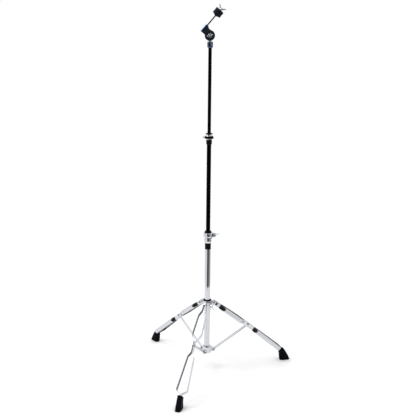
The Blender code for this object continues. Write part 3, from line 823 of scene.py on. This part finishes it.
def hex_head(across, thick, plain, length):
    """A bolt along Z: plain shank, then thread.  Its hexagon lies across the shank's root."""
    corner_r = across / sqrt(3)
    six = arc((0, 0), corner_r, 0, 300, 5)
    head = stood(plate(six, 0, thick), (0, 0, 0), (0, -1, 0), (1, 0, 0))
    bmesh.ops.transform(head, matrix=Matrix.Rotation(pi / 2, 4, "X"), verts=head.verts)
    lowest = min(vert.co.z for vert in head.verts)
    bmesh.ops.translate(head, verts=head.verts, vec=(0, 0, -thick - lowest))
    shank = turned([(0, -thick / 2), (bolt_r, -thick / 2), (bolt_r, plain), (0, plain)], 32)
    return worked(head, joins=[shank, thread(bolt_r, plain - 0.0004, length)], edge=0.0002,
                  angle=50)


def clamp(label, corners, bolt_z, bearing, nut_side, finish):
    """A turned casting with a pair of ears on a bearing, split between them, and their bolt."""
    swing = Matrix.Rotation(radians(bearing), 4, "Z")
    ear = [(0.0140, bolt_z - ear_r), *arc((ear_out, bolt_z), ear_r, -90, 90, 24),
           (0.0140, bolt_z + ear_r)]
    split_half, split_from, split_to = 0.0012, corners[0][1] - 0.01, bolt_z + 0.030
    split = block((0.004, -split_half, split_from), (0.045, split_half, split_to))
    ears, split, hole = (stood(shape, (0, 0, 0), UP, swing.col[0].xyz) for shape in (
        plate(ear, -ear_half, ear_half), split, drill((ear_out, bolt_z), bolt_hole_r, 0.02)))
    casting = worked(turned(corners, 96), joins=[ears], cuts=[split, hole], edge=0.0005)
    casting.transform(swung())
    fitted(label + "_casting", casting, finish, label)
    bolt_mesh = hex_head(0.0098, 0.0034, 0.0160, 0.0262)
    under_head = Matrix.Translation((ear_out, -nut_side * (ear_half + gap), bolt_z))
    bolt_mesh.transform(swung(swing @ under_head @ Matrix.Rotation(-nut_side * pi / 2, 4, "X")))
    fitted(label + "_bolt_turned", bolt_mesh, steel, label + "_bolt")
    return casting


clamp_wings = 0.0240, 0.0200
z0 = span_of("lower_clamp")[0]
inside = base_r + gap
skirt = [(inside, z0), (0.0138, z0, 0.0004), (0.0158, z0 + 0.0083, 0.0030),
         (0.0162, z0 + 0.0263, 0.0010), (0.0188, z0 + 0.0280, 0.0010),
         (0.0198, z0 + 0.0310, 0.0016), (0.0198, z0 + 0.0440, 0.0016),
         (0.0188, z0 + 0.0463, 0.0010), (inside, z0 + 0.0463)]
clamp("lower_clamp", skirt, joints["lower_clamp_nut_turn"]["pos_m"][2], 0, -1, chrome)
wing_nut("lower_clamp_wings", "lower_clamp_wing_nut", *clamp_wings,
         seat_of(joints["lower_clamp_nut_turn"], swing_x, 36))

z0 = span_of("mid_clamp")[0]
inside = mid_r + gap
cone = [(inside, z0), (0.0130, z0, 0.0004), (0.0134, z0 + 0.0036, 0.0006),
        (0.0186, z0 + 0.0042, 0.0006), (0.0193, z0 + 0.0054, 0.0008),
        (0.0193, z0 + 0.0114, 0.0008), (0.0186, z0 + 0.0128, 0.0006),
        (0.0150, z0 + 0.0176, 0.0020), (0.0145, z0 + 0.0218, 0.0005), (inside, z0 + 0.0218)]
casting = clamp("mid_clamp", cone, joints["mid_clamp_nut_turn"]["pos_m"][2], 90, 1,
                [chrome, black_chrome])
band_low, band_high = z0 + 0.0038, z0 + 0.0150
for face in casting.polygons:
    out = hypot(face.center.x - column.x, face.center.y - column.y)
    if band_low < face.center.z < band_high and 0.0155 < out < 0.0198:
        face.material_index = 1
wing_nut("mid_clamp_wings", "mid_clamp_wing_nut", *clamp_wings,
         seat_of(joints["mid_clamp_nut_turn"], UP, 90))

# ------------------------------ clamp bushes and sleeve
# Black nylon: each bush has a flange on top of its clamp and a sleeve down inside the tube.
# The middle tube also has a tapered nylon sleeve under its clamp.


def clamp_bush(node, tube, wall, slider, flange_r, flange_t):
    """The bush on top of a tube, bored for the thinner tube that slides in it."""
    low, high = span_of(node)
    tube_top, outer = span_of(tube)[1] + gap, radius_of(tube)
    hole, sleeve = radius_of(slider) + gap, outer - wall - gap
    neck = high - flange_t
    bush = [(hole, low), (sleeve, low, 0.0004), (sleeve, tube_top), (outer, tube_top),
            (outer, neck), (flange_r, neck, 0.0004), (flange_r, high - 0.0008, 0.0012),
            (flange_r - 0.0016, high, 0.0006), (hole, high, 0.0004)]
    fitted(node + "_moulding", stood(turned(bush, 96), column), nylon, node)


clamp_bush("lower_clamp_bush", "base_tube", base_wall, "mid_tube", 0.0154, 0.0077)
clamp_bush("mid_clamp_bush", "mid_tube", mid_wall, "top_tube", 0.0150, 0.0040)

low, high = span_of("mid_clamp_sleeve")
inside = mid_r + gap
sleeve_r, ring_r = 0.0125, 0.0121
sleeve = [(inside, low), (0.0104, low, 0.0003), (0.0124, low + 0.0036, 0.0012),
          (sleeve_r, low + 0.0090), (ring_r, low + 0.0096), (ring_r, low + 0.0108),
          (sleeve_r, low + 0.0114), (0.0126, high, 0.0005), (inside, high)]
fitted("mid_clamp_sleeve_moulding", stood(turned(sleeve, 96), column), nylon, "mid_clamp_sleeve")

# ------------------------------ tilter
# Two toothed discs face each other on one bolt: the lower is cast with the socket on the top tube,
# the upper carries the arm that grips the rod.  Both are plated a deep blue-black.

blue_black = plating("blue_black_chrome", (0.082, 0.108, 0.170, 1), (0.100, 0.128, 0.190, 1),
                     0.12, Specular_Tint=(0.55, 0.62, 0.75, 1))
pivot = Vector(joints["tilter_pivot"]["pos_m"])
pivot_x = (pivot - column).dot(swing_x)
disc_r, disc_t = 0.0215, 0.0090
rod_way = Vector(joints["cymbal_nut_turn"]["axis"])


def ratchet(teeth=36, inner=0.0105, deep=0.0007, filled=0.86):
    """A crown of radial V grooves to cut into a disc's face at Z = 0."""
    shape = bmesh.new()
    for tooth in range(teeth):
        turn = 2 * pi * tooth / teeth
        half = pi / teeth * filled
        corners = []
        for radius in (inner, disc_r + 0.001):
            left = (radius * cos(turn - half), radius * sin(turn - half), 0.0002)
            right = (radius * cos(turn + half), radius * sin(turn + half), 0.0002)
            root = (radius * cos(turn), radius * sin(turn), -deep)
            corners.append([shape.verts.new(spot) for spot in (left, root, right)])
        near, far = corners
        shape.faces.new(near)
        shape.faces.new(far[::-1])
        for k in range(3):
            shape.faces.new((near[k], near[(k + 1) % 3], far[(k + 1) % 3], far[k]))
    return shape


def bolt_holes():
    """Cutters for the bolt's hole and for the spring's recess round it."""
    return [drill((0, 0), 0.0070, 0.0045, 48), drill((0, 0), bolt_hole_r, 0.02, 32)]


socket_low = span_of("tilter_base")[0]
neck_top = pivot.z - disc_r - gap
shoulder = neck_top - 0.0040
tube_top = span_of("top_tube")[1]
hole, hole_end = top_r + gap, tube_top + 0.0004
socket = turned([(0, neck_top), (0.0075, neck_top), (0.0075, shoulder),
                 (0.0115, shoulder, 0.0006), (0.0122, neck_top - 0.0060, 0.0008),
                 (0.0121, socket_low + 0.0040, 0.0020), (0.0095, socket_low, 0.0006),
                 (hole, socket_low), (hole, hole_end), (0, hole_end)], 72)
shift = Vector((pivot_x, 0, pivot.z))
plate_r = disc_r - 0.0005
disc = turned([(0, gap), (plate_r, gap, 0.0003), (plate_r, gap + disc_t, 0.0012),
               (0, gap + disc_t)], 96)
crown = stood(ratchet(), shift + Vector((0, gap, 0)), (0, -1, 0))
cuts = [crown]
for tool in bolt_holes():
    bmesh.ops.translate(tool, verts=tool.verts, vec=shift)
    cuts.append(tool)
web = block((-0.0050, gap, tube_top + 0.0010), (0.0050, 0.0055, pivot.z - 0.0100))
mesh = worked(socket, joins=[web, stood(disc, shift, (0, 1, 0))], cuts=cuts, edge=0.0003,
              angle=60)
mesh.transform(swung())
fitted("tilter_base_casting", mesh, blue_black, "tilter_base")

low, high = span_of("neck_ring")
ring = [(0.0078, low), (0.0105, low, 0.0008), (0.0105, high, 0.0008), (0.0078, high)]
fitted("neck_ring_plain", stood(turned(ring, 64), column), chrome, "neck_ring")

lean = atan2(rod_way.dot(swing_x), rod_way.z)
head_frame = swung(Matrix.Translation(shift) @ Matrix.Rotation(lean, 4, "Y"))
front = -disc_t - gap
arm_low, arm_high = -0.0115, 0.0235
rod_out = 0.0349
rod_r = 0.00275
outline = arc((0, 0), disc_r, -148, 110, 60)
outline += [(-0.0135, 0.0185), (-0.0195, 0.0188), (-0.0250, 0.0203), (-0.0295, arm_high),
            (-0.0395, arm_high), (-0.0395, arm_low)]
grip = [(-0.0260, front), (-0.0400, front), (-0.0458, -0.0040), (-0.0458, 0.0050),
        (-0.0446, 0.0072), (-0.0420, 0.0080), (-0.0260, 0.0080)]
grip_shape = extruded([(x, y, arm_low) for x, y in grip], (0, 0, arm_high - arm_low))
crown = stood(ratchet(), (0, -gap, 0), (0, 1, 0))
rod_hole = turned([(0, 0.0030), (rod_r + gap, 0.0030), (rod_r + gap, 0.0400), (0, 0.0400)], 32)
bmesh.ops.translate(rod_hole, verts=rod_hole.verts, vec=(-rod_out, 0, 0))
mesh = worked(plate(outline, front, -gap), joins=[grip_shape],
              cuts=[crown, rod_hole] + bolt_holes(), edge=0.0006, angle=50)
mesh.transform(head_frame)
fitted("tilter_head_casting", mesh, blue_black, "tilter_head")

coil_r, coil_length, wire_r = 0.0052, 0.0066, 0.0006
coil_turns, steps_a_turn, wire_sides = 3, 24, 10
helix = []
for step in range(coil_turns * steps_a_turn + 1):
    turn = 2 * pi * step / steps_a_turn
    along = coil_length * (step / (coil_turns * steps_a_turn) - 0.5)
    helix.append(Vector((coil_r * cos(turn), along, coil_r * sin(turn))))
coil = bmesh.new()
rings = []
for step, spot in enumerate(helix):
    ahead = helix[min(step + 1, len(helix) - 1)] - helix[max(step - 1, 0)]
    out = Vector((spot.x, 0, spot.z)).normalized()
    across = ahead.cross(out).normalized()
    angles = [2 * pi * k / wire_sides for k in range(wire_sides)]
    rings.append([coil.verts.new(spot + wire_r * (out * cos(a) + across * sin(a)))
                  for a in angles])
lofted(coil, rings)
bmesh.ops.transform(coil, matrix=head_frame, verts=coil.verts)
fitted("tilter_spring_coil", coil, steel, "tilter_spring")

back, washer_back, washer_r = disc_t + 2 * gap, disc_t + 0.0023, 0.0090
washer = turned([(bolt_hole_r, back), (washer_r, back, 0.0003), (washer_r, washer_back, 0.0005),
                 (bolt_hole_r, washer_back)], 64)
forward = Matrix.Rotation(pi / 2, 4, "X")
bmesh.ops.transform(washer, matrix=swung(Matrix.Translation(shift) @ forward),
                    verts=washer.verts)
fitted("tilter_washer_plain", washer, chrome, "tilter_washer")

bolt_mesh = hex_head(0.0104, 0.0038, 0.0230, 0.0356)
bolt_mesh.transform(swung(Matrix.Translation(shift + Vector((0, back, 0))) @ forward))
fitted("tilter_bolt_turned", bolt_mesh, steel, "tilter_bolt")
wing_nut("tilter_wings", "tilter_wing_nut", 0.0135, 0.0150,
         seat_of(joints["tilter_nut_turn"], swing_x, 15))

# ------------------------------ cymbal rod, cup and sleeve
# A black-plated rod held in the tilter's arm and threaded at its top.  A cup washer stops on it,
# and a nylon sleeve keeps the cymbal's hole off the thread.

felt_t = 0.0126
felt_from = 0.0785  # up the rod, where the lower felt rests on the cup
plain_to = felt_from - 0.0060
rod_end = 0.1140
rod_frame = head_frame @ Matrix.Translation((-rod_out, 0, 0))


def on_rod(shape, name, finish, node, angle=32):
    bmesh.ops.transform(shape, matrix=rod_frame, verts=shape.verts)
    return fitted(name, shape, finish, node, angle=angle)


plain_rod = turned([(0, 0.0035), (rod_r, 0.0035, 0.0004), (rod_r, plain_to), (0, plain_to)], 40)
rod_mesh = worked(plain_rod, joins=[thread(rod_r, plain_to - 0.0004, rod_end)], edge=0)
rod_mesh.transform(rod_frame)
fitted("cymbal_rod_turned", rod_mesh, black_chrome, "cymbal_rod")

cup_hole = 0.0032
cup = [(cup_hole, felt_from - 0.0040), (0.0065, felt_from - 0.0040, 0.0006),
       (0.0100, felt_from - 0.0022, 0.0020), (0.0110, felt_from - gap, 0.0004),
       (cup_hole, felt_from - gap)]
on_rod(turned(cup, 64), "cup_washer_spun", black_chrome, "cup_washer")
tube_end = felt_from + 2 * felt_t + gap + 0.0005
sleeve_r = 0.0046
sleeve = [(rod_r + gap, felt_from), (sleeve_r, felt_from, 0.0003), (sleeve_r, tube_end, 0.0004),
          (rod_r + gap, tube_end)]
on_rod(turned(sleeve, 48), "cymbal_sleeve_moulding", nylon, "cymbal_sleeve")

# ------------------------------ felts
# Two thick washers of dark pressed wool felt, which the cymbal is held between.  Their rims are
# soft and slightly uneven, with a fibrous grain and a pressed face.

felt, felt_shader, felt_start = coating("dark_felt", 0.0, Sheen_Weight=0.06,
                                        Sheen_Roughness=0.6, Specular_IOR_Level=0.1)
matted = felt_start.grain(420.0, 6.0).ramp((0.35, 0), (0.70, 1))
fibres = felt_start.grain(2200.0, 4.0, (1, 1, 0.35))
tint = (matted * 0.6 + fibres * 0.3).blend((0.004, 0.005, 0.011, 1), (0.012, 0.014, 0.027, 1))
tint.into(felt_shader, "Base Color")
(0.86 + fibres * 0.12).into(felt_shader, "Roughness")
(fibres * 0.6 + matted).bump(0.7, 0.0005).into(felt_shader, "Normal")
felt_r, felt_hole, dished_r = 0.0190, 0.0049, 0.0120
dish = 0.0001
long_edge = 0.003  # edges longer than this are divided, so that the rim can be uneven

for index, node in enumerate(("lower_felt", "upper_felt")):
    z0 = felt_from + index * (felt_t + gap)
    z1 = z0 + felt_t
    corners = [(felt_hole, z0, 0.0008), (dished_r, z0 + dish), (felt_r, z0 + dish, 0.0022),
               (felt_r, z0 + felt_t * 0.35), (felt_r, z0 + felt_t * 0.65),
               (felt_r, z1 - dish, 0.0022), (dished_r, z1 - dish), (felt_hole, z1, 0.0008)]
    shape = turned(corners, 140)
    divided = []
    for edge in shape.edges:
        one, other = (vert.co for vert in edge.verts)
        if abs(one.z - other.z) > long_edge or abs(one.xy.length - other.xy.length) > long_edge:
            divided.append(edge)
    bmesh.ops.subdivide_edges(shape, edges=divided, cuts=5)
    for vert in shape.verts:
        rough = noise.noise(vert.co * 900 + Vector((index * 7, 0, 0))) * 0.6
        rough += noise.noise(vert.co * 260)
        push = min(0.0, rough * 0.00030 - 0.00018)
        way = Vector((vert.co.x, vert.co.y, 0)).normalized()
        if vert.co.xy.length > 0.0150:
            vert.co += way * push
        elif vert.co.xy.length > 0.0060:
            vert.co.z += push * (1 if vert.co.z > (z0 + z1) / 2 else -1)
    on_rod(shape, node + "_pressed", felt, node, angle=60)

wing_nut("cymbal_wings", "cymbal_wing_nut", 0.0180, 0.0175,
         seat_of(joints["cymbal_nut_turn"], swing_x), bore_r=0.0031)

# ------------------------------ studio
# A pale floor in a white room, lit softly from above and from the left.  The room's dark door
# and the floor beyond the lit patch are what the bright chrome picks up as dark bands.

floor_mesh = bpy.data.meshes.new("studio_floor")
patch = bmesh.new()
bmesh.ops.create_circle(patch, cap_ends=True, segments=96, radius=1.15)
patch.to_mesh(floor_mesh)
patch.free()
floor = linked("studio_floor", floor_mesh)
floor.location = (column.x, column.y, -0.0005)
floor_coat, floor_shader, floor_start = coating("studio_floor", 0.0, Roughness=0.6,
                                                Specular_IOR_Level=0.1)
tint = floor_start.grain(3.0).blend((0.93, 0.93, 0.935, 1), (0.96, 0.96, 0.96, 1))
tint.into(floor_shader, "Base Color")
floor_mesh.materials.append(floor_coat)


def softbox(name, place, width, height, power, aim=(0, 0, 0.7)):
    light = bpy.data.lights.new(name, "AREA")
    light.shape = "RECTANGLE"
    light.size, light.size_y, light.energy = width, height, power
    lamp = linked(name, light)
    lamp.location = place
    lamp.rotation_euler = (Vector(place) - Vector(aim)).to_track_quat("Z", "Y").to_euler()
    lamp.visible_camera = False


softbox("top_softbox", (0.0, -0.2, 3.6), 2.6, 2.6, 24)
softbox("left_softbox", (-1.75, -0.65, 3.25), 1.1, 1.1, 30, (0, 0.1, 1.4))

world = bpy.data.worlds.new("studio")
bpy.context.scene.world = world
world.use_nodes = True
room = Wire(world.node_tree)
way = room.node("ShaderNodeTexCoord", output="Generated")
east, south, lift = (room.node("ShaderNodeSeparateXYZ", {}, {0: way}, axis) for axis in range(3))
bearing_of = east.maths("ARCTAN2", east, south * -1.0) * (180 / pi)
lift_of = lift.maths("ARCSINE", lift, 0.0) * (180 / pi)


def within(angle, low, high, soft):
    """1 where an angle lies between two limits, falling softly to 0 outside them."""
    ends = []
    for limit, outer in ((low, low - soft), (high, high + soft)):
        ends.append(angle.node("ShaderNodeMapRange", {"interpolation_type": "SMOOTHSTEP"},
                               {"Value": angle, "From Min": outer, "From Max": limit}))
    return ends[0] * ends[1]


door = within(bearing_of, -44, 10, 6) * within(lift_of, -4, 22, 5)
door_frame = within(bearing_of, 12, 26, 5) * within(lift_of, -4, 30, 6)
ceiling = within(bearing_of, -10, 70, 12) * within(lift_of, 26, 50, 8)
far_floor = within(bearing_of, -8, 60, 5) * within(lift_of, -40, -7, 3)
far_right = within(bearing_of, 66, 132, 6) * within(lift_of, -40, -7, 3)
seen = room.node("ShaderNodeLightPath", output="Is Camera Ray")
dimmed = (1 - door * 0.97) * (1 - door_frame * 0.86) * (1 - ceiling * 0.85)
dimmed = dimmed * (1 - far_floor * 0.90) * (1 - far_right * 0.62)
glow = dimmed * (1 - seen) + seen
backing = world.node_tree.nodes["Background"]
glow.into(backing, "Strength")
backing.inputs["Color"].default_value = (1, 1, 1, 1)

camera = bpy.data.cameras.new("camera")
eye = linked("camera", camera)
stands_at, away, eye_height = radians(16.6867), 2.5795, 1.3425
bearing, tilt, roll = radians(16.718), radians(12.672), radians(0.6345)
eye.location = column + Vector((sin(stands_at) * away, -cos(stands_at) * away, eye_height))
eye.rotation_euler = (Matrix.Rotation(bearing, 3, "Z") @ Matrix.Rotation(pi / 2 - tilt, 3, "X")
                      @ Matrix.Rotation(roll, 3, "Z")).to_euler()
camera.sensor_width = 36
camera.lens = 51.82
bpy.context.scene.camera = eye
bpy.context.scene.view_settings.view_transform = "Standard"
